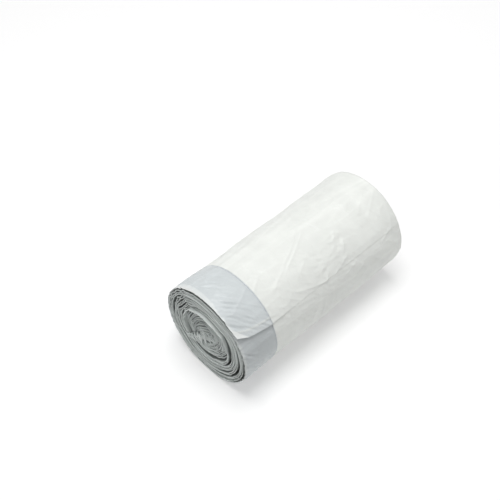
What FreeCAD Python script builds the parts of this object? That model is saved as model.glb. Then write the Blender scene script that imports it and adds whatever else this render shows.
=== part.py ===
import FreeCAD, Part
import Sketcher

import math
import os

# Roll of drawstring bags for cat litter, lying on its side.
#
# The bags are one long web of thin film, folded lengthwise to the roll's width and wound up without a core.
# The top hems of the bags all lie at one end of the roll, and a drawtape runs through them.
#
# Frame: the winding axis is along X with the hem end at -X, +Z is up, and the origin is on the floor under
# the middle of the roll. The winding grows in the sense that turns +Y to +Z, and its loose tail lies on the
# -Y side.
#
# The winding is drawn as half circles, centred in turn on the two ends of a short line through the axis.
# Each is larger than the last by that line's length, so each meets the next smoothly.

DRIVING_SIZES_MM = {
    # the whole roll
    "roll_length": 145.0,
    "roll_radius": 36.0,  # at the tip of the tail, where the winding is widest
    "flat_press": 0.8,  # how deep the floor presses the underside flat
    # the winding
    "web_thickness": 0.9,  # the folded bags, all plies together
    "tail_step": 0.9,  # how far the web's end stands above the turn below
    "tail_angle": 143.6,  # degrees from +Y
    "fold_gap_depth": 6.0,  # how deep the turns stand open at the folded end
    # the drawtape, and the hem around it
    "tape_width": 24.0,
    "tape_thickness": 0.3,
    "tape_clearance": 0.2,  # from the tape to the film on either face
    "tape_margin": 1.3,  # from the tape's edges to the hem's fold and to its seal
    # the crumpled first turns at the hem end, which stand away from the other turns below
    "hollow_radius": 16.5,
    "hollow_narrow": 1.2,
    "hollow_wide": 6.0,
    "hollow_depth": 12.0,
    "hollow_dish": 4.0,  # how far the first turns sink at the axis
    # the slot that the winding bar left at the folded end
    "slot_length": 14.0,
    "slot_width": 4.0,
    "slot_depth": 9.0,
    "slot_tilt": 35.0,  # degrees from +Y
}
HEM_END = "-dims.roll_length / 2"
FOLD_END = "dims.roll_length / 2"
LOWEST = "(dims.roll_radius - dims.tail_step * (3 - sin(dims.tail_angle * 1 deg)) / 4)"
AXIS_HEIGHT = f"({LOWEST} - dims.flat_press)"
WEB_GAP = "(dims.tape_thickness + 2 * dims.tape_clearance)"
HEM_WIDTH = "(dims.tape_width + 2 * dims.tape_margin)"
WEB_GROWTH = f"((dims.web_thickness + {WEB_GAP}) / 2)"  # in half a turn
GAP_INNERMOST = f"(dims.hollow_radius + dims.web_thickness + {WEB_GAP} / 2)"
GAP_OUTERMOST = f"(dims.roll_radius - dims.tail_step - dims.web_thickness - {WEB_GAP} / 2)"
CORE_RADIUS = "(dims.hollow_radius - (dims.hollow_wide + dims.hollow_narrow) / 2)"
CORE_LIFT = "((dims.hollow_wide - dims.hollow_narrow) / 2)"

LEAST_CHANGE_MM3 = 1.0  # a feature that adds or removes less than this has gone wrong
START, END, CENTRE = 1, 2, 3  # the points of a sketch's line or arc
SKETCH_ORIGIN = (-1, START)
SKETCH_H_AXIS = -1
SKETCH_V_AXIS = -2


def make_sheet(doc):
    sheet = doc.addObject("Spreadsheet::Sheet", "dims")
    for row, (alias, number) in enumerate(DRIVING_SIZES_MM.items(), start=1):
        sheet.set(f"A{row}", alias)
        sheet.set(f"B{row}", str(number))
        sheet.setAlias(f"B{row}", alias)
    doc.recompute()


def value(obj, expression):
    """What an expression on the sheet comes to."""
    found = obj.evalExpression(expression)
    return getattr(found, "Value", found)


def new_body(doc, name):
    body = doc.addObject("PartDesign::Body", name)
    body.Label = name
    body.setExpression("Placement.Base.z", AXIS_HEIGHT)
    return body


def new_sketch(body, name, role, offset):
    """A sketch on one of the body's origin planes, moved along the plane's normal by an expression."""
    plane = next(feature for feature in body.Origin.OriginFeatures if feature.Role == role)
    sketch = body.newObject("Sketcher::SketchObject", name)
    sketch.AttachmentSupport = [(plane, "")]
    sketch.MapMode = "FlatFace"
    sketch.setExpression("AttachmentOffset.Base.z", offset)
    return sketch


def constrain(sketch, kind, *where):
    return sketch.addConstraint(Sketcher.Constraint(kind, *where))


def dimension(sketch, kind, *where, size):
    """A dimension of the sketch that follows an expression."""
    now = value(sketch, size)
    if kind == "Angle":
        now = math.radians(now)
    index = constrain(sketch, kind, *where, now)
    sketch.setExpression(f"Constraints[{index}]", size)


def line_between(sketch, first, second, meeting="Coincident"):
    """A straight line that joins two points of the sketch's own geometry."""
    line = sketch.addGeometry(Part.LineSegment(sketch.getPoint(*first), sketch.getPoint(*second)))
    constrain(sketch, meeting, line, START, *first)
    constrain(sketch, meeting, line, END, *second)


def guide_line(sketch, length, angle):
    """A construction line with its middle on the axis."""
    turned = math.radians(value(sketch, angle))
    half = FreeCAD.Vector(math.cos(turned), math.sin(turned)) * (value(sketch, length) / 2)
    line = sketch.addGeometry(Part.LineSegment(half.negative(), half), True)
    constrain(sketch, "Symmetric", line, START, line, END, *SKETCH_ORIGIN)
    dimension(sketch, "Distance", line, size=length)
    dimension(sketch, "Angle", line, size=f"{angle} * 1 deg")
    return line


def half_circle(sketch, guide, end, radius, begin):
    """An arc of half a turn round one end of a guide line, from an angle in radians."""
    circle = Part.Circle(sketch.getPoint(guide, end), FreeCAD.Vector(0, 0, 1), radius)
    arc = sketch.addGeometry(Part.ArcOfCircle(circle, begin, begin + math.pi))
    constrain(sketch, "Coincident", arc, CENTRE, guide, end)
    return arc


def growing_arcs(sketch, guide, growth, first, count, radius):
    """Half turns of the winding, from number `first` on. Even ones start on the tail's side of the axis."""
    along = math.radians(value(sketch, "dims.tail_angle"))
    arcs = []
    for number in range(first, first + count):
        even = number % 2 == 0
        now = value(sketch, radius) + len(arcs) * value(sketch, growth)
        arc = half_circle(sketch, guide, START if even else END, now, along if even else along + math.pi)
        if arcs:
            constrain(sketch, "Coincident", arcs[-1], END, arc, START)
        else:
            constrain(sketch, "PointOnObject", arc, START, guide)
            dimension(sketch, "Radius", arc, size=radius)
        constrain(sketch, "PointOnObject", arc, END, guide)
        arcs.append(arc)
    return arcs


def outermost_turn(body):
    """The winding's outline, with the step at its tail."""
    sketch = new_sketch(body, "outermost_turn", "YZ_Plane", HEM_END)
    growth = "(dims.tail_step / 2)"
    guide = guide_line(sketch, growth, "dims.tail_angle")
    arcs = growing_arcs(sketch, guide, growth, 0, 2, f"dims.roll_radius - {growth} * 3 / 2")
    line_between(sketch, (arcs[1], END), (arcs[0], START))
    return sketch


def between_turns(body, name, offset, thickness, left_out=0):
    """A strip that follows the gap between the turns, less some half turns at either end."""
    sketch = new_sketch(body, name, "YZ_Plane", offset)
    guide = guide_line(sketch, WEB_GROWTH, "dims.tail_angle")
    room = value(sketch, f"({GAP_OUTERMOST} - {GAP_INNERMOST}) / {WEB_GROWTH}")
    half_turns = 2 * math.floor(room / 2)
    middle = f"{GAP_OUTERMOST} - {WEB_GROWTH} * {half_turns - left_out - 0.5}"
    walls = []
    for side in "+-":
        radius = f"{middle} {side} {thickness} / 2"
        walls.append(growing_arcs(sketch, guide, WEB_GROWTH, left_out, half_turns - 2 * left_out, radius))
    outer, inner = walls
    line_between(sketch, (outer[0], START), (inner[0], START))
    line_between(sketch, (outer[-1], END), (inner[-1], END))
    return sketch


def below_floor(body):
    """A rectangle on the floor, larger than the roll."""
    sketch = new_sketch(body, "below_floor", "XY_Plane", f"-{AXIS_HEIGHT}")
    x = value(sketch, "dims.roll_length")
    y = value(sketch, "dims.roll_radius")
    corners = [FreeCAD.Vector(*xy) for xy in ((-x, -y), (x, -y), (x, y), (-x, y))]
    lines = [sketch.addGeometry(Part.LineSegment(corners[i - 1], corners[i])) for i in range(4)]
    for i, line in enumerate(lines):
        constrain(sketch, "Coincident", lines[i - 1], END, line, START)
        constrain(sketch, "Vertical" if i % 2 == 0 else "Horizontal", line)
    constrain(sketch, "Symmetric", lines[0], START, lines[1], END, *SKETCH_ORIGIN)
    dimension(sketch, "Distance", lines[1], size="2 * dims.roll_length")
    dimension(sketch, "Distance", lines[0], size="2 * dims.roll_radius")
    return sketch


def crescent(body):
    """The space between the crumpled first turns and the others, widest below."""
    sketch = new_sketch(body, "crescent", "YZ_Plane", HEM_END)
    up = FreeCAD.Vector(0, 0, 1)
    outer = sketch.addGeometry(Part.Circle(FreeCAD.Vector(), up, value(sketch, "dims.hollow_radius")))
    lifted = FreeCAD.Vector(0, value(sketch, CORE_LIFT))
    inner = sketch.addGeometry(Part.Circle(lifted, up, value(sketch, CORE_RADIUS)))
    constrain(sketch, "Coincident", outer, CENTRE, *SKETCH_ORIGIN)
    constrain(sketch, "PointOnObject", inner, CENTRE, SKETCH_V_AXIS)
    dimension(sketch, "DistanceY", *SKETCH_ORIGIN, inner, CENTRE, size=CORE_LIFT)
    dimension(sketch, "Radius", outer, size="dims.hollow_radius")
    dimension(sketch, "Radius", inner, size=CORE_RADIUS)
    return sketch


def dish_section(body):
    """Half of the shallow cone that the first turns leave open at the hem end, for turning round the axis."""
    sketch = new_sketch(body, "dish_section", "XZ_Plane", "0")
    end = value(sketch, HEM_END)
    rim = FreeCAD.Vector(end, value(sketch, "dims.hollow_radius"))
    middle = FreeCAD.Vector(end, 0)
    deepest = FreeCAD.Vector(end + value(sketch, "dims.hollow_dish"), 0)
    flank = sketch.addGeometry(Part.LineSegment(rim, deepest))
    axis = sketch.addGeometry(Part.LineSegment(deepest, middle))
    face = sketch.addGeometry(Part.LineSegment(middle, rim))
    constrain(sketch, "Coincident", flank, END, axis, START)
    constrain(sketch, "Coincident", axis, END, face, START)
    constrain(sketch, "Coincident", face, END, flank, START)
    constrain(sketch, "Vertical", face)
    constrain(sketch, "PointOnObject", axis, START, SKETCH_H_AXIS)
    constrain(sketch, "PointOnObject", axis, END, SKETCH_H_AXIS)
    dimension(sketch, "Distance", face, size="dims.hollow_radius")
    dimension(sketch, "Distance", axis, size="dims.hollow_dish")
    dimension(sketch, "DistanceX", axis, END, *SKETCH_ORIGIN, size=FOLD_END)
    return sketch


def bar_slot(body):
    """The flattened slot at the folded end."""
    sketch = new_sketch(body, "bar_slot", "YZ_Plane", FOLD_END)
    guide = guide_line(sketch, "(dims.slot_length - dims.slot_width)", "dims.slot_tilt")
    tilt = math.radians(value(sketch, "dims.slot_tilt"))
    radius = value(sketch, "dims.slot_width / 2")
    near = half_circle(sketch, guide, START, radius, tilt + math.pi / 2)
    far = half_circle(sketch, guide, END, radius, tilt - math.pi / 2)
    line_between(sketch, (near, END), (far, START), meeting="Tangent")
    line_between(sketch, (far, END), (near, START), meeting="Tangent")
    dimension(sketch, "Radius", near, size="dims.slot_width / 2")
    constrain(sketch, "Equal", near, far)
    return sketch


def add_feature(body, kind, name, sketch, **settings):
    """A pad, pocket or groove of a sketch. It has to change the body's volume the right way."""
    before = 0.0 if body.Shape.isNull() else body.Shape.Volume
    feature = body.newObject(f"PartDesign::{kind}", name)
    feature.Profile = sketch
    for setting, wanted in settings.items():
        if isinstance(wanted, str):
            feature.setExpression(setting, wanted)
        else:
            setattr(feature, setting, wanted)
    body.Document.recompute()
    added = body.Shape.Volume - before
    if added * (1 if kind == "Pad" else -1) < LEAST_CHANGE_MM3:
        raise RuntimeError(f"{name} doesn't change its body")


def make_film(doc):
    """The wound web of bags."""
    film = new_body(doc, "wound_bag_film")
    into_hem_end = {"Reversed": True}
    add_feature(film, "Pad", "wound_web", outermost_turn(film), Length="dims.roll_length")
    add_feature(film, "Pocket", "floor_flat", below_floor(film), Length="dims.roll_radius")
    hem_gap = between_turns(film, "hem_gap_path", HEM_END, WEB_GAP)
    add_feature(film, "Pocket", "hem_gap", hem_gap, Length=HEM_WIDTH, **into_hem_end)
    fold_gap = between_turns(film, "fold_gap_path", FOLD_END, WEB_GAP)
    add_feature(film, "Pocket", "fold_gap", fold_gap, Length="dims.fold_gap_depth")
    add_feature(film, "Pocket", "hollow", crescent(film), Length="dims.hollow_depth", **into_hem_end)
    dish = dish_section(film)
    add_feature(film, "Groove", "dish", dish, ReferenceAxis=(dish, ["H_Axis"]), Angle=360)
    add_feature(film, "Pocket", "slot", bar_slot(film), Length="dims.slot_depth")
    return film


def make_tape(doc):
    """The drawtape, wound with the film and loose in its hem."""
    tape = new_body(doc, "wound_drawtape")
    edge = f"{HEM_END} + dims.tape_margin"
    strip = between_turns(tape, "tape_path", edge, "dims.tape_thickness", left_out=1)
    add_feature(tape, "Pad", "tape_strip", strip, Length="dims.tape_width")
    return tape


def check(doc, bodies):
    for obj in doc.Objects:
        if {"Invalid", "Error"} & set(obj.State):
            raise RuntimeError(f"{obj.Label} failed: {obj.State}")
        if obj.TypeId == "Sketcher::SketchObject" and not obj.FullyConstrained:
            raise RuntimeError(f"{obj.Label} isn't fully constrained")
    for body in bodies:
        if body.Shape.isNull() or not body.Shape.isValid() or len(body.Shape.Solids) != 1:
            raise RuntimeError(f"{body.Label} isn't one valid solid")


def main():
    doc = FreeCAD.newDocument("litter_bag_roll")
    make_sheet(doc)
    bodies = [make_film(doc), make_tape(doc)]
    doc.recompute()
    check(doc, bodies)
    os.makedirs("parts", exist_ok=True)
    for body in bodies:
        body.Shape.exportStep(f"parts/{body.Label}.step")
        print(body.Label, round(body.Shape.Volume), "mm3", body.Shape.BoundBox)


main()
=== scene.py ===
"""The looks of a coreless roll of white drawstring bags: wound film, grey tape in its hems, a plain studio.

The sheets are wound up, apart from the folded plies in the middle. A point on one is given as turns (how far
along the winding it is, 0 at the loose tail and more inwards), radius, and inset (how far it is from the hem
end). Distances are in metres, and angles go from +Y towards +Z.
"""

import math

import bpy
import numpy as np
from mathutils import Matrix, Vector


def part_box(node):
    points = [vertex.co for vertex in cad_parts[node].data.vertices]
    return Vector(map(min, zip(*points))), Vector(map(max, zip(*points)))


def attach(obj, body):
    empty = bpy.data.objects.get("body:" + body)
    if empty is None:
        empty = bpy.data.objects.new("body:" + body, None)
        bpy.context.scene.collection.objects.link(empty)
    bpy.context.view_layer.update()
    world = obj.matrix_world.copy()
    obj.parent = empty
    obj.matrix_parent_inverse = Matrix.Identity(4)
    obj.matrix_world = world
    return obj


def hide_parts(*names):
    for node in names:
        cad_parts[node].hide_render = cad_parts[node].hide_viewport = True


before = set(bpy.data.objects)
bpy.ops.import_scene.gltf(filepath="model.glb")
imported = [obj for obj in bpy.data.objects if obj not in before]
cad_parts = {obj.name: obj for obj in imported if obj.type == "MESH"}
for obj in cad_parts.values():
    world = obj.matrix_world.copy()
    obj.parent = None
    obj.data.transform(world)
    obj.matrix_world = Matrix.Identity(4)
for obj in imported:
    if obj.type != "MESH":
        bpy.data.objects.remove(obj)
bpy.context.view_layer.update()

MM = 0.001
TURN = 2 * math.pi

# ---- sizes from the frame -------------------------------------------------------------------------------
film_low, film_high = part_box("wound_bag_film")
tape_low, tape_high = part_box("wound_drawtape")
HEM_X = film_low.x
ROLL_LENGTH = film_high.x - film_low.x
TAIL_STEP = 2 * (film_high.y + film_low.y)  # the winding grows by half of this between its two sides
TAIL_ANGLE = math.radians(143.6)  # where the loose tail ends
ROLL_RADIUS = film_high.y + TAIL_STEP * TAIL_ANGLE / TURN
AXIS_Z = film_high.z - ROLL_RADIUS + TAIL_STEP * (TAIL_ANGLE - TURN / 4) / TURN
TAPE_FROM = tape_low.x - film_low.x
TAPE_TO = tape_high.x - film_low.x
HEM_SEAL = TAPE_TO + TAPE_FROM  # the weld that closes the hem leaves the tape as much room as the rim does


# ---- shapes and repeatable noise ------------------------------------------------------------------------
CREASE_PATCHES = (18 * MM, 60 * MM)  # the wavelengths of the patches that creases come in


def smooth(value, low, high):
    """0 up to low, 1 from high on, and a smooth rise between."""
    t = np.clip((value - low) / (high - low), 0, 1)
    return t * t * (3 - 2 * t)


def bump_at(value, middle, width):
    """A rounded ridge of height 1."""
    return np.exp(-(((value - middle) / width) ** 2))


def angle_at(turns):
    """The angle of a place on the winding."""
    return TAIL_ANGLE - turns * TURN


def angle_from(angle, middle):
    """How far an angle is from another, the short way round."""
    return (angle - middle + math.pi) % TURN - math.pi


def ripples(seed, angle, inset, length, heading=(0, 180)):
    """Smooth noise of about unit height over the roll, the same after each turn.

    length is the range of its wavelengths. heading is the range of its directions in degrees: 0 is round
    the roll with the angle rising, and 90 is towards the fold end.
    """
    rng = np.random.default_rng(seed)
    waves = 28
    total = 0
    for _ in range(waves):
        wavelength = rng.uniform(*length)
        across = math.radians(rng.uniform(*heading))
        around = round(ROLL_RADIUS * TURN * math.cos(across) / wavelength)
        along = TURN * math.sin(across) / wavelength
        total = total + np.cos(around * angle + along * inset + rng.uniform(0, TURN))
    return total / math.sqrt(waves / 2)


def creases(seed, angle, inset, length, heading, width):
    """Thin ridges where ripples cross zero, in patches. width is in units of the ripples' height."""
    lines = ripples(seed, angle, inset, length, heading)
    patches = ripples(seed + 1, angle, inset, CREASE_PATCHES)
    return np.exp(-((lines / width) ** 2)) * smooth(patches, -0.2, 1.2)


def wander(seed, along, lengths):
    """Smooth noise of about unit height along a line. lengths is the range of its wavelengths."""
    rng = np.random.default_rng(seed)
    waves = 24
    total = 0
    for _ in range(waves):
        total = total + np.cos(TURN * along / rng.uniform(*lengths) + rng.uniform(0, TURN))
    return total / math.sqrt(waves / 2)


def crumple(seed, angle, radius, inset, length):
    """Smooth noise of about unit height through the roll's end, the same in turns that lie together."""
    rng = np.random.default_rng(seed)
    y, z = radius * np.cos(angle), radius * np.sin(angle)
    waves = 22
    total = 0
    for _ in range(waves):
        pitch = TURN / rng.uniform(*length)
        heading = rng.uniform(0, TURN)
        lean = rng.uniform(-0.5, 0.5)
        phase = pitch * (y * math.cos(heading) + z * math.sin(heading) + lean * inset)
        total = total + np.cos(phase + rng.uniform(0, TURN))
    return total / math.sqrt(waves / 2)


# ---- the winding ----------------------------------------------------------------------------------------
FLOOR_SOFTNESS = 0.35 * MM  # how gradually the film goes over into the flat that the roll rests on
CORE_SHIFT = (2 * MM, -5.5 * MM)  # at the hem end the middle has slipped this far off the axis, in y and z
CORE_REACH = 19 * MM  # the radius within which it has slipped
CORE_SLIPPED = (12 * MM, 26 * MM)  # the slip is whole up to the first inset and gone at the second


def place(angle, radius, inset):
    """Points of the roll, with its middle slipped at the hem end and its underside pressed flat."""
    slip = (1 - np.clip(radius / CORE_REACH, 0, 1) ** 2) ** 2 * (1 - smooth(inset, *CORE_SLIPPED))
    depth = -radius * np.sin(angle) - CORE_SHIFT[1] * slip
    pressed = -FLOOR_SOFTNESS * np.logaddexp(-depth / FLOOR_SOFTNESS, -AXIS_Z / FLOOR_SOFTNESS)
    y = radius * np.cos(angle) + CORE_SHIFT[0] * slip
    return np.stack(np.broadcast_arrays(HEM_X + inset, y, AXIS_Z - pressed), axis=-1)


def closed_sheet(name, front, back, web):
    """A closed sheet between two grids of points, with its place on the web kept for its material."""
    rows, columns = front.shape[:2]
    index = np.arange(rows * columns).reshape(rows, columns)
    under = index + rows * columns

    def quads(a, b, c, d):
        return np.stack([a.ravel(), b.ravel(), c.ravel(), d.ravel()], axis=1)

    faces = np.concatenate([
        quads(index[:-1, :-1], index[1:, :-1], index[1:, 1:], index[:-1, 1:]),
        quads(under[:-1, :-1], under[:-1, 1:], under[1:, 1:], under[1:, :-1]),
        quads(index[:-1, 0], under[:-1, 0], under[1:, 0], index[1:, 0]),
        quads(index[:-1, -1], index[1:, -1], under[1:, -1], under[:-1, -1]),
        quads(index[0, :-1], index[0, 1:], under[0, 1:], under[0, :-1]),
        quads(index[-1, :-1], under[-1, :-1], under[-1, 1:], index[-1, 1:]),
    ])
    mesh = bpy.data.meshes.new(name)
    mesh.from_pydata(np.concatenate([front.reshape(-1, 3), back.reshape(-1, 3)]), [], faces)
    mesh.polygons.foreach_set("use_smooth", np.ones(len(faces), bool))
    attribute = mesh.attributes.new("web", "FLOAT_VECTOR", "POINT")
    attribute.data.foreach_set("vector", np.tile(web.reshape(-1, 3), (2, 1)).astype(np.float32).ravel())
    mesh.validate()
    piece = bpy.data.objects.new(name, mesh)
    bpy.context.scene.collection.objects.link(piece)
    return piece


def shell(name, turns, radius, inset, thickness, web):
    """A sheet of the winding, with the given radius at the middle of its thickness.

    web is what its material reads: how far along the winding a point is, how far from the rim, and how far
    in from the free edges next to it.
    """
    angle = angle_at(turns)
    web = np.stack(np.broadcast_arrays(*web, radius)[:3], axis=-1)
    outside = place(angle, radius + thickness / 2, inset)
    inside = place(angle, radius - thickness / 2, inset)
    return closed_sheet(name, outside, inside, web)


# ---- how the turns lie at the hem end -------------------------------------------------------------------
PLY = 0.26 * MM  # a ply's thickness at the hem: real film is thinner, but several plies cling together
PLY_GAP = 0.12 * MM  # between the two plies of a turn
TURN_STEP = 2 * PLY + PLY_GAP  # from turn to turn where there is no slack
PER_TURN = 240  # the places that are worked out in each turn
HEM_OVERLAP = 0.03  # the outermost hem runs on under its tail by this part of a turn
RING = 11  # the turn that stands proud of the end over the top
RING_RADIUS = 20.5 * MM
RING_CLOSES_IN = 1.2 * MM  # in one turn
RING_HEIGHT = 2.0 * MM
CORE_FROM, CORE_TO = RING + 1.1, RING + 13.4  # the turns that close in on the flattened middle
CORE_HALF_LENGTH, CORE_HALF_WIDTH = 9.0 * MM, 4.0 * MM
CORE_TILT = math.radians(156)
LEFT_SIDE = math.radians(32)  # where the turns are crumpled most


def at(turn, degrees):
    """A place on the winding, in turns: so many whole turns from the tail, and then on to this angle."""
    return turn + ((math.degrees(TAIL_ANGLE) - degrees) % 360) / 360


# Where a turn stands off the next one inside it: the place, half the width in turns, and how far.
LOOSE_SPOTS = (
    (at(0, 114), 0.17, 2.1 * MM),
    (at(0, 180), 0.13, 1.5 * MM),
    (at(3, 190), 0.14, 1.9 * MM),
    (at(4, 108), 0.12, 0.8 * MM),
    (at(RING - 2, 150), 0.16, 3.4 * MM),
    (at(3, 22), 0.07, 0.5 * MM),
    (at(5, 50), 0.07, 0.6 * MM),
    (at(7, 30), 0.08, 0.6 * MM),
    (at(9, 55), 0.08, 0.6 * MM),
    (at(5, 232), 0.05, 0.9 * MM),
    (at(6, 244), 0.04, 0.8 * MM),
    (at(8, 262), 0.10, 0.7 * MM),
    (at(1, 255), 0.12, 0.7 * MM),
    (at(1, 122), 0.09, 0.6 * MM),
    (at(1, 75), 0.09, 0.6 * MM),
)
CRESCENT = (at(RING, 270), 0.16, 4.4 * MM)  # the widest gap, below the middle


def spots(turns, places):
    """How far turns stand apart because of the given loose spots."""
    return sum(height * bump_at(turns, middle, spread) for middle, spread, height in places)


def flat_middle(angle):
    """The radius of the flattened hollow in the middle, which the last turns go round."""
    along, across = np.cos(angle - CORE_TILT), np.sin(angle - CORE_TILT)
    return 1 / np.hypot(along / CORE_HALF_LENGTH, across / CORE_HALF_WIDTH)


def fit_to_ring(slack, loose):
    """What the slack outside the ring is multiplied by, at each angle, so that the ring comes out round."""
    outside, loosened = (v[: RING * PER_TURN].reshape(RING, PER_TURN).sum(axis=0) for v in (slack, loose))
    turn = np.arange(PER_TURN) / PER_TURN
    ring = RING_RADIUS - RING_CLOSES_IN * (turn - 0.3)
    room = ROLL_RADIUS - TAIL_STEP * turn - ring - RING * TURN_STEP - loosened
    factor = (room / outside).clip(0.1, 3)
    around = np.concatenate([factor] * 3)
    window = PER_TURN // 8
    even = np.convolve(around, np.ones(window) / window, mode="same")[PER_TURN : 2 * PER_TURN]
    return np.resize(even, len(slack))


def wind_hem_end():
    """The winding at the hem end: places in turns from the tail, the outer radius there, and the slack.

    The slack is the clear space between a turn and the next one inside it.
    """
    turns = np.arange(CORE_TO * PER_TURN) / PER_TURN
    long_gaps = 0.5 * MM * smooth(wander(1, turns, (0.4, 1.5)), -0.4, 2.0)
    short_gaps = 0.3 * MM * smooth(wander(2, turns, (0.15, 0.5)), 0, 1.5)
    slack = 0.35 * MM + long_gaps + short_gaps
    loose = spots(turns, LOOSE_SPOTS)
    slack = slack * fit_to_ring(slack, loose) + loose
    middle = flat_middle(angle_at(turns))
    uneven = 1 + 0.55 * np.cos(math.pi * turns) + 0.2 * wander(4, turns, (0.3, 0.9))
    crescent = spots(turns, (CRESCENT,))
    under_tail = TAIL_STEP - TURN_STEP
    slack = under_tail + (slack - under_tail) * smooth(turns, HEM_OVERLAP - 0.01, HEM_OVERLAP + 0.03)
    radius = np.empty_like(turns)
    radius[: PER_TURN + 1] = ROLL_RADIUS - TAIL_STEP * turns[: PER_TURN + 1]
    for i in range(PER_TURN + 1, len(turns)):
        outside = i - PER_TURN
        spread = (radius[outside] - middle[i]) / max(CORE_TO - turns[i], 1) - TURN_STEP
        blend = smooth(turns[i], CORE_FROM, CORE_FROM + 0.5)
        slack[outside] += (max(spread * uneven[i], 0.05 * MM) - slack[outside]) * blend
        slack[outside] += crescent[outside]
        radius[i] = radius[outside] - TURN_STEP - slack[outside]
    return turns, radius, slack


hem_turns, hem_radius, hem_slack = wind_hem_end()
hem_steps = np.hypot(np.diff(hem_radius), hem_radius[1:] * TURN / PER_TURN)
hem_arc = np.concatenate([[0], np.cumsum(hem_steps)])  # metres along the winding


def hem_edge(turns, radius):
    """How far a turn's edge is sunk into the end: the ring stands proud, and the middle is a bowl."""
    angle = angle_at(turns)
    ring = -RING_HEIGHT * bump_at(turns, at(RING, 90), 0.23)
    inside = smooth(turns, RING + 0.9, RING + 1.4)
    across = radius * np.cos(angle - math.radians(112)) / (14 * MM)
    bowl = 1.4 + 1.1 * across + 0.2 * wander(37, turns, (0.12, 0.5))
    under_folds = 1.3 * bump_at((angle - CORE_TILT) % TURN, math.pi, 0.45)
    return ring + inside * (bowl + under_folds) * MM


def core_pleats(angle, inset):
    """The gathers of the innermost turns: soft ridges that run inwards along the roll."""
    phase = 17 * angle + 1.9 * np.sin(3 * angle + 1) + 1.3 * np.sin(5 * angle + 4)
    phase = phase + 0.8 * np.sin(inset / (4 * MM) + 2 * angle) + 60 * (inset - 4 * MM)
    return np.cos(phase) + 0.4 * np.cos(0.5 * phase + 2.0 * np.sin(4 * angle))


def hem_shape(turns, radius, edge, inset):
    """Radius with what neighbouring turns share: crumples and pleats inside, and the outer film's wrinkles.

    The outer turns are pushed in a little behind their edge, so that they stay under the outermost one.
    """
    angle = angle_at(turns)
    core = smooth(turns, RING + 0.6, RING + 2.2)
    left = bump_at(angle_from(angle, LEFT_SIDE), 0, 0.7)
    crumpled = 0.4 + 0.2 * core + 1.3 * left * (1 - core)
    shared = 0.2 * MM * crumple(51, angle, radius, inset, (6 * MM, 12 * MM)) * crumpled
    outer = smooth(radius, ROLL_RADIUS - 6 * MM, ROLL_RADIUS - 1.5 * MM)
    radius = radius - outer * 0.9 * MM * smooth(inset - edge, 0.4 * MM, 4 * MM)
    pleated = 0.15 + 0.85 * smooth(np.cos(angle - math.radians(235)), 0.1, 0.8)
    radius = radius + core * pleated * np.minimum(0.05 * radius, 0.25 * MM) * core_pleats(angle, inset)
    return radius + shared * (1 - outer) + outer * wrinkles(angle, inset) + 0.8 * tail_lift(turns, inset)


# ---- the turns at the hem end ---------------------------------------------------------------------------
PLY_SPACING = 0.8 * MM  # between the points of a ply, along it
PLY_ROWS = np.array([0, 0.1, 0.35, 0.8, 1.6, 3, 5, 7, 9.5, 13, 26]) / 26  # from its free edge to the seal
TAPE_SPACING = 1.2 * MM
TAPE_ROWS = np.linspace(0, 1, 6)
TAPE_START = 12 * MM  # how far from the tail the tape starts
TAPE_THICKNESS = 0.6 * PLY_GAP
OUTER_PLY, INNER_PLY = 0, 1
OUTER_PLY_FROM, INNER_PLY_FROM = 1.02, 0.018  # in turns: the outer ply's first turn is a piece of its own


def make_hem_turns(name, ply, first_turn):
    """One of the two plies of the winding at the hem end, from a place in turns to its inner end."""
    along = np.arange(np.interp(first_turn, hem_turns, hem_arc), hem_arc[-1], PLY_SPACING)
    turns = np.interp(along, hem_arc, hem_turns)
    slack = np.interp(turns, hem_turns, hem_slack)
    parted = 0.15 * slack * smooth(turns, CORE_FROM + 1, CORE_FROM + 2)
    radius = np.interp(along, hem_arc, hem_radius) - PLY / 2 - ply * (PLY + PLY_GAP + parted)
    edge = 0.16 * MM * wander(31 + ply, turns, (0.12, 0.5)) + 0.22 * MM * wander(33 + ply, turns, (0.9, 2.5))
    edge = edge + (0.1 * MM if ply == INNER_PLY else 0) + hem_edge(turns, radius)
    room = np.minimum(np.interp(turns - 1, hem_turns, hem_slack), slack)
    left = bump_at(angle_from(angle_at(turns), LEFT_SIDE), 0, 0.8)
    flutter = 0.3 * room.clip(0, 0.8 * MM) * wander(41, along / (10 * MM), (0.35, 0.9))
    flutter = flutter * (0.2 + 0.8 * left) * (1 - 0.6 * smooth(turns, CORE_FROM, CORE_FROM + 1))
    along, turns, radius, edge, flutter = (v[:, None] for v in (along, turns, radius, edge, flutter))
    inset = edge + (HEM_SEAL - edge) * PLY_ROWS[None, :]
    radius = radius + flutter * np.exp(-(inset - edge) / (3 * MM))
    covered = np.maximum(edge, np.maximum(hem_edge(turns - 1, radius), hem_edge(turns + 1, radius)))
    web = (along, inset, inset - covered)
    return shell(name, turns, hem_shape(turns, radius, edge, inset), inset, PLY, web)


def make_tape():
    """The drawtape, between the two plies of each turn."""
    along = np.arange(TAPE_START, hem_arc[-1], TAPE_SPACING)[:, None]
    turns = np.interp(along, hem_arc, hem_turns)
    radius = np.interp(along, hem_arc, hem_radius) - PLY - PLY_GAP / 2
    edge = hem_edge(turns, radius)
    inset = edge + TAPE_FROM + (TAPE_TO - TAPE_FROM - edge) * TAPE_ROWS[None, :]
    web = (along, inset, inset - edge)
    return shell("drawtape_turns", turns, hem_shape(turns, radius, edge, inset), inset, TAPE_THICKNESS, web)


# ---- the folded plies in the middle ---------------------------------------------------------------------
CORE_PLIES = 5
CORE_PLY_THICKNESS = 1.5 * PLY
FOLDS_LENGTH = 29 * MM
FOLDS_LEFT_END = 20.5 * MM  # from the middle of the hollow
FOLDS_POINTS = 600
FOLDS_ROWS = np.array([0, 0.08, 0.2, 0.4, 0.7, 1])


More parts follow.
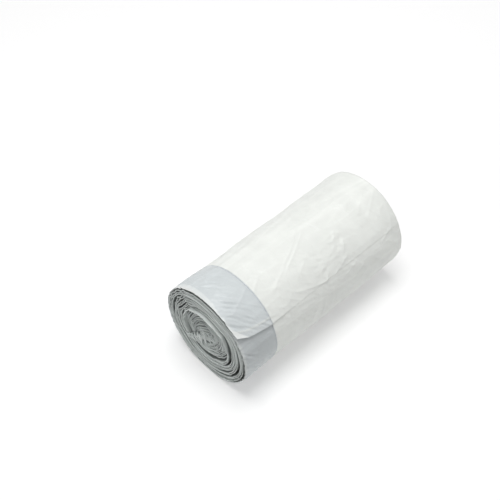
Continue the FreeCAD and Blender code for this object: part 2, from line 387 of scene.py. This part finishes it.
def zigzag(phase):
    """A triangle wave with rounded corners."""
    return np.arcsin(0.9 * np.sin(phase)) / math.asin(0.9)


def folds_path(number, s):
    """A ply's path along the hollow and across it, and its phase in the zigzag. s is 0 at its left end."""
    from_middle = number - (CORE_PLIES + 1) / 2
    variant = 1 + 0.5 * number
    along = FOLDS_LEFT_END - s * FOLDS_LENGTH
    gathered = 0.35 + 0.65 * smooth(s, 0.08, 0.42)
    bend = 1.4 * MM * np.sin(4 * s + 0.5) + 1.5 * MM * from_middle * gathered * (1 - 0.4 * s)
    pitch = 4.4 - 1.4 * s + 0.9 * np.sin(9 * s + 1)  # in mm
    phase = np.cumsum(TURN / pitch) * (FOLDS_LENGTH / MM) / len(s) + 0.3 * np.sin(5 * s + 3 * variant)
    swing = (0.5 + 1.6 * smooth(s, 0.2, 0.6) + 0.4 * np.sin(17 * s + variant)) * MM
    across = bend + swing * (zigzag(phase) + 0.12 * np.sin(2.3 * phase + variant))
    return along, across, phase


def folds_edge(number, s, phase):
    """How far a ply's edge is sunk into the end. Its left end dives between the turns."""
    sunk = 0.15 * MM * abs(number - (CORE_PLIES + 1) / 2)
    edge = sunk + 0.45 * MM * np.sin(0.5 * phase + 17 * s) + 1.4 * MM * smooth(s, 0.45, 1)
    return edge - 1.9 * MM * (1 - s) ** 2 + 3.6 * MM * (1 - smooth(s, 0, 0.16))


def make_core_folds(number):
    """One ply of the film's inner end, folded to and fro across the middle and out over its left side."""
    s = np.linspace(0, 1, FOLDS_POINTS)
    along, across, phase = folds_path(number, s)
    left, up = -math.cos(CORE_TILT), -math.sin(CORE_TILT)
    y = CORE_SHIFT[0] + left * along + up * across
    z = CORE_SHIFT[1] + up * along - left * across
    edge = folds_edge(number, s, phase)
    depth = edge + (1.7 + 8 * smooth(s, 0.22, 0.36)) * MM
    inset = edge[:, None] + (depth - edge)[:, None] * FOLDS_ROWS[None, :]
    heading = np.stack([np.gradient(y), np.gradient(z)], axis=-1)
    heading = heading / np.linalg.norm(heading, axis=1, keepdims=True)
    lean = 0.12 * (inset - edge[:, None]) * np.sin(0.7 * phase + 9 * s)[:, None]
    sides = []
    for half in (CORE_PLY_THICKNESS / 2, -CORE_PLY_THICKNESS / 2):
        side_y = y[:, None] - heading[:, 1:] * (half + lean)
        side_z = z[:, None] + heading[:, :1] * (half + lean)
        sides.append(np.stack(np.broadcast_arrays(HEM_X + inset, side_y, AXIS_Z + side_z), axis=-1))
    arc = np.cumsum(np.hypot(np.gradient(y), np.gradient(z)))[:, None]
    web = np.stack(np.broadcast_arrays(arc, inset, inset - edge[:, None]), axis=-1)
    return closed_sheet(f"core_folds_{number}", *sides, web)


# ---- the outermost turn ---------------------------------------------------------------------------------
BODY_OVERLAP = 0.08  # the body runs on under its tail by this part of a turn
BODY_FILM = 0.1 * MM
HEM_SPACING, BODY_SPACING = 0.55 * MM, 0.78 * MM  # between points
CREASES, CRINKLES = 70, 40
EAR_DEPTH, EAR_HEIGHT = 8.5 * MM, 6.5 * MM  # the tail's corner is folded under: it is a white triangle
EAR_CUT = 3.4 * MM  # how much less far the tail reaches at its corner
EAR_WEB = -3 * MM  # what the web gives as the ear's inset, so that its material shows no tape there
SIDE_SEAL = 4.6 * MM  # from the tail's edge
FOLD_LINES = (1.15 * ROLL_RADIUS, 2.2 * ROLL_RADIUS)  # the bag's lengthwise folds, from the rim
FOLDED_IN = 0.55 * MM  # how far the film's far edge turns in over the fold end

# The sets of creases in the outer film: seed, wavelengths, headings, width, and height on the body and hem.
CREASE_SETS = (
    (63, (14 * MM, 26 * MM), (18, 42), 0.3, 0.3 * MM, 0.1 * MM),
    (65, (8 * MM, 14 * MM), (130, 155), 0.36, 0.24 * MM, 0.24 * MM),
    (73, (14 * MM, 26 * MM), (60, 100), 0.28, 0.22 * MM, 0.22 * MM),
    (75, (12 * MM, 22 * MM), (150, 190), 0.28, -0.2 * MM, -0.2 * MM),
    (77, (5 * MM, 9 * MM), (112, 135), 0.36, 0.0, 0.2 * MM),
)


def past_seal(inset):
    """0 on the hem, 1 on the body, and a smooth change beyond the seal."""
    return smooth(inset, HEM_SEAL, HEM_SEAL + 20 * MM)


def body_step(inset):
    """How far the tail stands off the turn below: the hem is thick, and the film beyond it thin."""
    return TAIL_STEP + (1.2 * BODY_FILM - TAIL_STEP) * past_seal(inset)


def crease(angle, inset, middle, heading, length, height, width):
    """A long sharp crease. middle is (degrees, inset), and heading is in degrees from the roll's axis."""
    around = ROLL_RADIUS * angle_from(angle, math.radians(middle[0]))
    turn = math.radians(heading)
    along = (inset - middle[1]) * math.cos(turn) + around * math.sin(turn)
    across = around * math.cos(turn) - (inset - middle[1]) * math.sin(turn)
    across = across + 0.12 * along**2 / length
    return height * bump_at(across, 0, width) * (1 - smooth(np.abs(along), 0.25 * length, 0.5 * length))


def fold_creases(angle, inset):
    """Creases pressed in by handling: a long double one, short ones all over, and a patch of crinkles."""
    total = 0
    for gap in (0, 3.2 * MM):
        middle = (99 + math.degrees(gap / ROLL_RADIUS), 69 * MM)
        total = total + crease(angle, inset, middle, -28, 40 * MM, 0.46 * MM, 0.75 * MM)
    rng = np.random.default_rng(81)
    for _ in range(CREASES):
        middle = (rng.uniform(0, 360), rng.uniform(0, ROLL_LENGTH))
        heading = rng.choice((-35, -20, 25, 75)) + rng.uniform(-12, 12)
        length = rng.uniform(10, 36) * MM
        height = rng.uniform(-0.26, 0.42) * MM
        width = rng.uniform(0.75, 1.0) * MM
        total = total + crease(angle, inset, middle, heading, length, height, width)
    for _ in range(CRINKLES):
        middle = (128 + 9 * rng.standard_normal(), (93 + 10 * rng.standard_normal()) * MM)
        heading = rng.uniform(-70, 50)
        length = rng.uniform(4, 11) * MM
        height = rng.uniform(-0.32, 0.52) * MM
        total = total + crease(angle, inset, middle, heading, length, height, 0.78 * MM)
    return total


def wrinkles(angle, inset):
    """The height of the outer film's humps, creases and hem, the same for the turns that lie under it."""
    hem = 1 - smooth(inset, HEM_SEAL - 1.2 * MM, HEM_SEAL + 1.2 * MM)
    height = 0.15 * MM * ripples(61, angle, inset, (35 * MM, 90 * MM))
    height = height + 0.25 * MM * hem - 0.2 * MM * bump_at(inset, HEM_SEAL, 0.8 * MM)
    for seed, lengths, headings, width, on_body, on_hem in CREASE_SETS:
        set_height = on_body + (on_hem - on_body) * hem
        height = height + set_height * creases(seed, angle, inset, lengths, headings, width)
    patches = smooth(ripples(69, angle, inset, (15 * MM, 40 * MM)), -1.4, 1.0)
    fine = ripples(71, angle, inset, (2.6 * MM, 6 * MM), (120, 145))
    height = height + 0.16 * MM * patches * fine * (0.3 + 0.7 * hem)
    height = height + fold_creases(angle, inset) * (1 - 0.5 * hem)
    for fold in FOLD_LINES:
        height = height - 0.1 * MM * bump_at(inset, fold, 1.1 * MM)
    rim = np.exp(-inset / (2.2 * MM))
    return height + 0.1 * MM * rim * ripples(67, angle, inset, (3.5 * MM, 8 * MM), (-8, 8))


def tail_reach(inset):
    """The tail's edge isn't square to the roll: how far it reaches past turn 0."""
    corner = EAR_CUT * np.clip(1 - inset / EAR_DEPTH, 0, 1)
    return 4.3 * MM * smooth(inset, -4 * MM, HEM_SEAL + 6 * MM) - 0.4 * MM - corner


def tail_lift(turns, inset):
    """How far the loose tail stands up: a soft edge on the hem, a bent corner, and the bag's side seal."""
    hem = 1 - smooth(inset, HEM_SEAL - 3 * MM, HEM_SEAL + 4 * MM)
    from_edge = turns * TURN * ROLL_RADIUS + tail_reach(inset)
    ear = np.clip(1 - inset / EAR_DEPTH - from_edge / EAR_HEIGHT, 0, 1.2)
    seal = 0.25 * MM * bump_at(from_edge, SIDE_SEAL, 0.9 * MM) * (0.25 + 0.75 * hem)
    return 0.5 * MM * hem * np.exp(-from_edge.clip(0) / (3.5 * MM)) + 2.0 * MM * ear + seal


def wrap_shape(turns, inset):
    """Radius of the outermost turn's middle, with its wrinkles."""
    radius = ROLL_RADIUS - body_step(inset) * turns - PLY / 2
    folded_in = FOLDED_IN * smooth(inset, ROLL_LENGTH - 2.5 * MM, ROLL_LENGTH)
    return radius - folded_in + wrinkles(angle_at(turns), inset) + tail_lift(turns, inset)


def make_wrap(name, inset, spacing, overlap):
    """The part of the outermost turn over the given insets, with its points closer together at the tail."""
    length = (1 + overlap) * TURN * ROLL_RADIUS
    along = np.concatenate([[0, 0.3 * MM, 0.7 * MM], np.arange(1.2 * MM, length, spacing)])[::-1]
    along, inset = along[:, None], inset[None, :]
    turns = (along - tail_reach(inset) * (1 - smooth(along, 0, 30 * MM))) / (TURN * ROLL_RADIUS)
    thickness = PLY + (BODY_FILM - PLY) * past_seal(inset)
    no_tape = smooth(1 - inset / EAR_DEPTH - along / EAR_HEIGHT, -0.03, 0.03)
    web = (along, inset + (EAR_WEB - inset) * no_tape, inset)
    return shell(name, turns, wrap_shape(turns, inset), inset, thickness, web)


def hem_insets():
    """Insets over the hem, closer together at the rim."""
    rim = np.array([0, 0.22, 0.5, 0.85]) * HEM_SPACING
    return np.concatenate([rim, np.linspace(1.5 * HEM_SPACING, HEM_SEAL, round(HEM_SEAL / HEM_SPACING))])


def body_insets():
    """Insets over the body, as far as the fold end."""
    return np.arange(HEM_SEAL, ROLL_LENGTH + BODY_SPACING / 2, BODY_SPACING)


# ---- the fold end ---------------------------------------------------------------------------------------
FOLD_CLEARANCE = 0.86 * MM  # how much smaller than the roll its outer radius is
FOLD_PITCH = 0.78 * MM
FOLD_THICKNESS = 0.74 * MM
FOLD_START = 0.12  # the part of its thickness that the first turn starts with
FOLD_MIDDLE = 1.3 * MM  # the radius of what is left open in the middle
FOLD_DEPTH = 12 * MM
FOLD_SPACING = 1.2 * MM  # between points along the winding
FOLD_ROWS = np.array([0, 0.08, 0.25, 0.6, 1.2, 2.2, 5, 11]) / 11
FOLD_ROUNDING = np.array([0.2, 0.6, 0.85, 1, 1, 1, 1, 1])  # the part of the thickness at each row
WEB_PER_TURN = 100 * MM  # how much of the web its material takes each turn to be


def fold_turns():
    """Places along the winding at the fold end, evenly spaced apart from the tightest turns."""
    outer = ROLL_RADIUS - FOLD_CLEARANCE
    turns = [0.0]
    while outer - FOLD_PITCH * (turns[-1] - 1) > FOLD_MIDDLE:
        radius = max(outer - FOLD_PITCH * turns[-1], 2.5 * MM)
        turns.append(turns[-1] + FOLD_SPACING / (TURN * radius))
    return np.array(turns)


def make_fold_end():
    """The folded edges of the bags, packed close together. The first turn starts thin and fills the rim."""
    turns = fold_turns()
    first = turns.clip(0, 1)
    thickness = FOLD_THICKNESS * turns.clip(FOLD_START, 1)
    radius = ROLL_RADIUS - FOLD_CLEARANCE - 1.2 * BODY_FILM * first - thickness / 2
    radius = radius - FOLD_PITCH * (turns - 1).clip(0) + 0.07 * MM * wander(71, turns, (0.3, 1.5)) * first
    edge = 0.22 * MM * wander(73, turns, (0.2, 1.1)) + 0.55 * MM * wander(75, turns, (0.9, 2.5)) + 1.0 * MM
    edge = edge + 1.6 * MM * smooth(-radius, -9 * MM, -3 * MM)
    edge, radius, turns = edge[:, None], radius[:, None], turns[:, None]
    from_end = edge + (FOLD_DEPTH - edge) * FOLD_ROWS[None, :]
    inset = ROLL_LENGTH - from_end
    angle = angle_at(turns)
    core = smooth(-radius, -15 * MM, -6 * MM)
    outer = smooth(radius, ROLL_RADIUS - 6 * MM, ROLL_RADIUS - 2 * MM)
    shared = 0.22 * MM * crumple(77, angle, radius, inset, (5 * MM, 12 * MM)) * (0.6 + 1.2 * core)
    radius = radius + shared * (1 - outer) + outer * wrinkles(angle, inset)
    radius = radius - outer * 0.5 * MM * smooth(from_end, 2 * MM, 6 * MM)
    thickness = thickness[:, None] * FOLD_ROUNDING[None, :]
    web = (turns * WEB_PER_TURN, inset, from_end)
    # The rows run towards the end, so that the sheet's outside faces outwards.
    sheet = (v[:, ::-1] for v in np.broadcast_arrays(turns, radius, inset, thickness))
    return shell("fold_end_turns", *sheet, tuple(v[:, ::-1] for v in web))


# ---- materials ------------------------------------------------------------------------------------------
WHITE = (0.86, 0.88, 0.845)
BAND = (0.64, 0.68, 0.69)  # the tape seen through the hem
HEM_LINE = (0.62, 0.66, 0.68)
RIM = (0.75, 0.785, 0.78)
EAR = (0.77, 0.79, 0.78)
MARGIN = (0.77, 0.81, 0.79)  # the free edges inside the roll
# SHADED and DEEP_SHADE are painted shade: the film between the turns, painted darker further in from its
# free edges.
SHADED = (0.345, 0.375, 0.365)
DEEP_SHADE = (0.31, 0.33, 0.325)
TAPE_DARK, TAPE_LIGHT = (0.42, 0.46, 0.50), (0.50, 0.54, 0.58)
BLACK = (0.0, 0.0, 0.0)
CREASE_LINES = ((35, 42.0), (-50, 60.0), (5, 50.0), (80, 55.0))  # how far the noise is turned, and its scale
TAPE_SLID = 5 * MM  # about how far in from the rim the tape has slid, where it has slid most
TAPE_SLID_AT = 55 * MM  # where that is, along the winding from the tail
TAPE_SLID_REACH = 36 * MM  # further off than this, either way, it has hardly slid
RAMP_WIDTH = 32 * MM  # the inset that a whole colour ramp stands for
SEAL_RAMP_WIDTH = 8 * MM  # the length from the tail's edge that the side seal's ramp stands for


class Nodes:
    """The nodes of a material or a world, added one call at a time."""

    def __init__(self, owner):
        owner.use_nodes = True
        self.tree = owner.node_tree
        self.tree.nodes.clear()

    def add(self, kind, inputs, output=0, **settings):
        """Add a node, set or link its inputs, and return one of its outputs."""
        node = self.tree.nodes.new("ShaderNode" + kind)
        for name, value in settings.items():
            setattr(node, name, value)
        for name, value in inputs.items():
            if isinstance(value, bpy.types.NodeSocket):
                self.tree.links.new(value, node.inputs[name])
            else:
                node.inputs[name].default_value = value
        return node.outputs[output] if node.outputs else node

    def math(self, operation, a, b=0.0):
        """A sum, product or the like of two numbers."""
        return self.add("Math", {0: a, 1: b}, operation=operation)

    def tint(self, vector, factor):
        """A colour or place times a number, or times another vector."""
        return self.add("VectorMath", {0: vector, 1: factor}, operation="MULTIPLY")

    def remap(self, value, source, target=(0.0, 1.0)):
        """A value carried from one range over to another, and kept inside it."""
        limits = {"From Min": source[0], "From Max": source[1], "To Min": target[0], "To Max": target[1]}
        return self.add("MapRange", {"Value": value, **limits})

    def noise(self, vector, scale, **inputs):
        """Noise from 0 to 1."""
        return self.add("TexNoise", {"Vector": vector, "Scale": scale, **inputs})

    def web(self):
        """The web's vector, and its three parts: along the winding, from the rim, and in from free edges."""
        vector = self.add("Attribute", {}, output="Vector", attribute_name="web")
        node = self.tree.nodes.new("ShaderNodeSeparateXYZ")
        self.tree.links.new(vector, node.inputs[0])
        return vector, *node.outputs

    def seen(self):
        """1 for what the camera sees, straight, reflected or through glass, and 0 for light on objects."""
        path = self.tree.nodes.new("ShaderNodeLightPath")
        seen = self.math("MAXIMUM", path.outputs["Is Camera Ray"], path.outputs["Is Glossy Ray"])
        return self.math("MAXIMUM", seen, path.outputs["Is Transmission Ray"])

    def ramp(self, factor, stops):
        """A colour ramp: stops are (position, colour)."""
        node = self.tree.nodes.new("ShaderNodeValToRGB")
        self.tree.links.new(factor, node.inputs["Fac"])
        elements = node.color_ramp.elements
        while len(elements) < len(stops):
            elements.new(0.5)
        for element, (position, colour) in zip(elements, stops):
            element.position = position
            element.color = (*colour, 1)
        return node.outputs["Color"]

    def crease_lines(self, vector, turn, scale):
        """Long thin ridges along the roll, in patches. Each turn of the noise gives other ridges."""
        turned = self.add("Mapping", {"Vector": vector, "Rotation": (0, 0, turn), "Scale": (1, 0.16, 0)})
        lines = self.noise(turned, scale, Detail=1.0, Distortion=0.4)
        off = self.math("ABSOLUTE", self.math("SUBTRACT", lines, 0.5))
        ridge = self.remap(off, (0.0, 0.05), (1.0, 0.0))
        patches = self.remap(self.noise(turned, 0.6 * scale), (0.45, 0.62))
        return self.math("MULTIPLY", ridge, patches)


def across_hem(n, vector, along, inset):
    """The inset that the hem's colour is read at: near the rim the tape has slid in by an uneven amount."""
    uneven = n.noise(vector, 70.0, Detail=2.0)
    uneven = n.math("MULTIPLY", n.math("SUBTRACT", uneven, 0.5), TAPE_SLID)
    from_slid = n.math("ABSOLUTE", n.math("SUBTRACT", along, TAPE_SLID_AT))
    slid = n.remap(from_slid, (0.0, TAPE_SLID_REACH), (-TAPE_SLID, 0.1 * TAPE_SLID))
    near_rim = n.remap(inset, (0.0, 9 * MM), (1.0, 0.0))
    return n.math("ADD", inset, n.math("MULTIPLY", n.math("ADD", uneven, slid), near_rim))


def outside_colour(n, vector, along, inset):
    """White film, grey where the tape shows through the hem, whitened by the bag's side seal, and with
    painted shade on the hem just below the tail's edge.
    """
    hem_stops = [
        (-2 * MM, EAR),
        (-1 * MM, RIM),
        (TAPE_FROM - 0.3 * MM, RIM),
        (TAPE_FROM + 0.9 * MM, BAND),
        (TAPE_TO - 0.3 * MM, BAND),
        (HEM_SEAL - 0.5 * MM, HEM_LINE),
        (HEM_SEAL + 0.3 * MM, HEM_LINE),
        (HEM_SEAL + 1.0 * MM, WHITE),
    ]
    hem_stops = [((position - EAR_WEB) / RAMP_WIDTH, colour) for position, colour in hem_stops]
    position = n.math("SUBTRACT", across_hem(n, vector, along, inset), EAR_WEB)
    colour = n.ramp(n.math("DIVIDE", position, RAMP_WIDTH), hem_stops)
    margin, seal = (0.1,) * 3, (0.45,) * 3
    seal_stops = [(0, margin), (0.42, margin), (0.52, seal), (0.58, seal), (0.68, BLACK)]
    whitened = n.ramp(n.math("DIVIDE", along, SEAL_RAMP_WIDTH), seal_stops)
    # A Mix node's sockets for colours are 6 and 7, and its third output.
    colour = n.add("Mix", {6: colour, 7: (*WHITE, 1), 0: whitened}, output=2, data_type="RGBA")
    tail_edge = TURN * ROLL_RADIUS  # the film this far along lies under the tail's edge
    # Painted shade: the hem just below the tail's edge is painted darker, as it lies in the tail's shade.
    under_tail_shade = n.remap(along, (tail_edge - 34 * MM, tail_edge - 12 * MM))
    painted_shade = n.remap(inset, (HEM_SEAL, HEM_SEAL + 1 * MM), (0.16, 0.0))
    return n.tint(colour, n.math("SUBTRACT", 1.0, n.math("MULTIPLY", under_tail_shade, painted_shade)))


def inside_colour(n, from_edges):
    """Film that gets darker away from its free edges, because little light comes between the turns."""
    stops = [(0.0, MARGIN), (0.1 * MM, MARGIN), (0.5 * MM, SHADED), (1.8 * MM, DEEP_SHADE)]
    stops = [(position / RAMP_WIDTH, colour) for position, colour in stops]
    return n.ramp(n.math("DIVIDE", from_edges, RAMP_WIDTH), stops)


def film_material(name, inside=False):
    """Film with a fine grain. Outside it also has sharp crease lines, painted a little whiter than the rest
    as painted highlights along them.
    """
    material = bpy.data.materials.new(name)
    n = Nodes(material)
    vector, along, inset, from_edges = n.web()
    colour = inside_colour(n, from_edges) if inside else outside_colour(n, vector, along, inset)
    mottle = n.remap(n.noise(vector, 60.0, Detail=3.0), (0.3, 0.7), (0.96, 1.02))
    colour = n.tint(colour, mottle)
    fine = n.noise(vector, 420.0, Detail=4.0, Roughness=0.6)
    streaks = n.noise(n.tint(vector, (1.0, 0.25, 1.0)), 900.0, Detail=3.0)
    height = n.math("ADD", fine, n.math("MULTIPLY", streaks, 0.4))
    if not inside:
        lines = 0.0
        for turn, scale in CREASE_LINES:
            lines = n.math("ADD", lines, n.crease_lines(vector, math.radians(turn), scale))
        height = n.math("ADD", height, n.math("MULTIPLY", lines, 1.5))
        # Painted highlight: the crease lines are painted a little whiter than the film around them.
        colour = n.tint(colour, n.math("ADD", n.math("MULTIPLY", lines, 0.05), 1.0))
    bump = n.add("Bump", {"Height": height, "Strength": 0.45, "Distance": 0.3 * MM})
    roughness = n.remap(fine, (0.3, 0.7), (0.27, 0.42))
    surface = n.add("BsdfPrincipled", {
        "Base Color": colour, "Roughness": roughness, "Normal": bump, "Specular IOR Level": 0.35,
    })
    n.add("OutputMaterial", {"Surface": surface})
    return material


def tape_material():
    """Grey tape with a grain drawn out along it."""
    material = bpy.data.materials.new("grey_tape")
    n = Nodes(material)
    vector = n.web()[0]
    grain = n.noise(n.tint(vector, (0.1, 1.0, 1.0)), 1500.0, Detail=2.0)
    colour = n.ramp(grain, [(0.3, TAPE_DARK), (0.7, TAPE_LIGHT)])
    bump = n.add("Bump", {"Height": grain, "Strength": 0.4, "Distance": 0.1 * MM})
    surface = n.add("BsdfPrincipled", {"Base Color": colour, "Roughness": 0.4, "Normal": bump})
    n.add("OutputMaterial", {"Surface": surface})
    return material


# ---- putting it together --------------------------------------------------------------------------------
film = film_material("white_film")
inner_film = film_material("white_film_inside", inside=True)
pieces = [
    (make_wrap("outermost_turn_hem", hem_insets(), HEM_SPACING, HEM_OVERLAP), film),
    (make_wrap("outermost_turn_body", body_insets(), BODY_SPACING, BODY_OVERLAP), film),
    (make_fold_end(), film),
    (make_hem_turns("hem_turns_outer_ply", OUTER_PLY, OUTER_PLY_FROM), inner_film),
    (make_hem_turns("hem_turns_inner_ply", INNER_PLY, INNER_PLY_FROM), inner_film),
]
for number in range(1, CORE_PLIES + 1):
    pieces.append((make_core_folds(number), inner_film))
for piece, material in pieces:
    piece.data.materials.append(material)
    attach(piece, "root")
    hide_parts("wound_bag_film")
drawtape = make_tape()
drawtape.data.materials.append(tape_material())
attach(drawtape, "root")
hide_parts("wound_drawtape")


# ---- studio ---------------------------------------------------------------------------------------------
FLOOR_HALF = 3.0  # half the side of the floor
FLOOR_GREY = (0.8, 0.8, 0.8, 1)
FLOOR_GLOW = (0.3, 0.9)  # what is added where the camera sees it, near the roll and far from it
SKY = (0.24, 1.0)  # its strength as light on the roll, and as the background that the camera sees

# Name, place, what it points at, diameter in metres and power in watts.
LAMPS = (
    ("overhead", (-0.06, 0.06, 1.1), (0, 0, 0), 0.7, 7.9),
    ("fill", (0.5, -1.3, 0.5), (0, 0, 0.03), 1.0, 2.4),
    ("front_fill", (-1.2, 0.25, 0.55), (0, 0, 0.03), 1.0, 2.2),
    ("back_fill", (1.1, 0.5, 0.6), (0, 0, 0.03), 1.0, 2.0),
)
CAMERA_AZIMUTH, CAMERA_ELEVATION = math.radians(-44.08), math.radians(49.3)
CAMERA_DISTANCE = 18.09 * ROLL_RADIUS
CAMERA_AIM = (HEM_X + 1.9185 * ROLL_RADIUS, 0.8926 * ROLL_RADIUS, AXIS_Z)
CAMERA_LENS, CAMERA_SENSOR = 69.97, 36  # in mm


def make_floor():
    """A plain floor that keeps the roll's shadow and goes over into the white background."""
    mesh = bpy.data.meshes.new("floor")
    corners = [(x * FLOOR_HALF, y * FLOOR_HALF, 0) for x, y in ((-1, -1), (1, -1), (1, 1), (-1, 1))]
    mesh.from_pydata(corners, [], [(0, 1, 2, 3)])
    floor = bpy.data.objects.new("floor", mesh)
    bpy.context.scene.collection.objects.link(floor)
    material = bpy.data.materials.new("floor")
    n = Nodes(material)
    diffuse = n.add("BsdfDiffuse", {"Color": FLOOR_GREY})
    position = n.add("NewGeometry", {}, output="Position")
    distance = n.add("VectorMath", {0: position}, output="Value", operation="LENGTH")
    glow = n.remap(distance, (3 * ROLL_LENGTH, 12 * ROLL_LENGTH), FLOOR_GLOW)
    glow = n.add("Emission", {"Strength": n.math("MULTIPLY", n.seen(), glow)})
    n.add("OutputMaterial", {"Surface": n.add("AddShader", {0: diffuse, 1: glow})})
    mesh.materials.append(material)


def make_world():
    """A soft white sky, which the camera sees as plain white."""
    world = bpy.data.worlds.new("studio")
    bpy.context.scene.world = world
    n = Nodes(world)
    strength = n.remap(n.seen(), (0.0, 1.0), SKY)
    background = n.add("Background", {"Color": (1, 1, 1, 1), "Strength": strength})
    n.add("OutputWorld", {"Surface": background})


def add_lamp(name, location, aim, diameter, power):
    """A round soft lamp."""
    light = bpy.data.lights.new(name, "AREA")
    light.shape = "DISK"
    light.size = diameter
    light.energy = power
    lamp = bpy.data.objects.new(name, light)
    lamp.location = location
    lamp.rotation_euler = (Vector(aim) - Vector(location)).to_track_quat("-Z", "Y").to_euler()
    bpy.context.scene.collection.objects.link(lamp)


def add_camera():
    """The camera, looking down on the hem end from the front left."""
    settings = bpy.data.cameras.new("camera")
    settings.lens = CAMERA_LENS
    settings.sensor_width = CAMERA_SENSOR
    settings.clip_start = 0.01
    camera = bpy.data.objects.new("camera", settings)
    level, up = math.cos(CAMERA_ELEVATION), math.sin(CAMERA_ELEVATION)
    back = Vector((math.sin(CAMERA_AZIMUTH) * level, -math.cos(CAMERA_AZIMUTH) * level, up))
    camera.location = Vector(CAMERA_AIM) + back * CAMERA_DISTANCE
    camera.rotation_euler = (-back).to_track_quat("-Z", "Y").to_euler()
    bpy.context.scene.collection.objects.link(camera)
    bpy.context.scene.camera = camera


make_floor()
make_world()
for lamp in LAMPS:
    add_lamp(*lamp)
add_camera()
bpy.context.scene.view_settings.view_transform = "Standard"
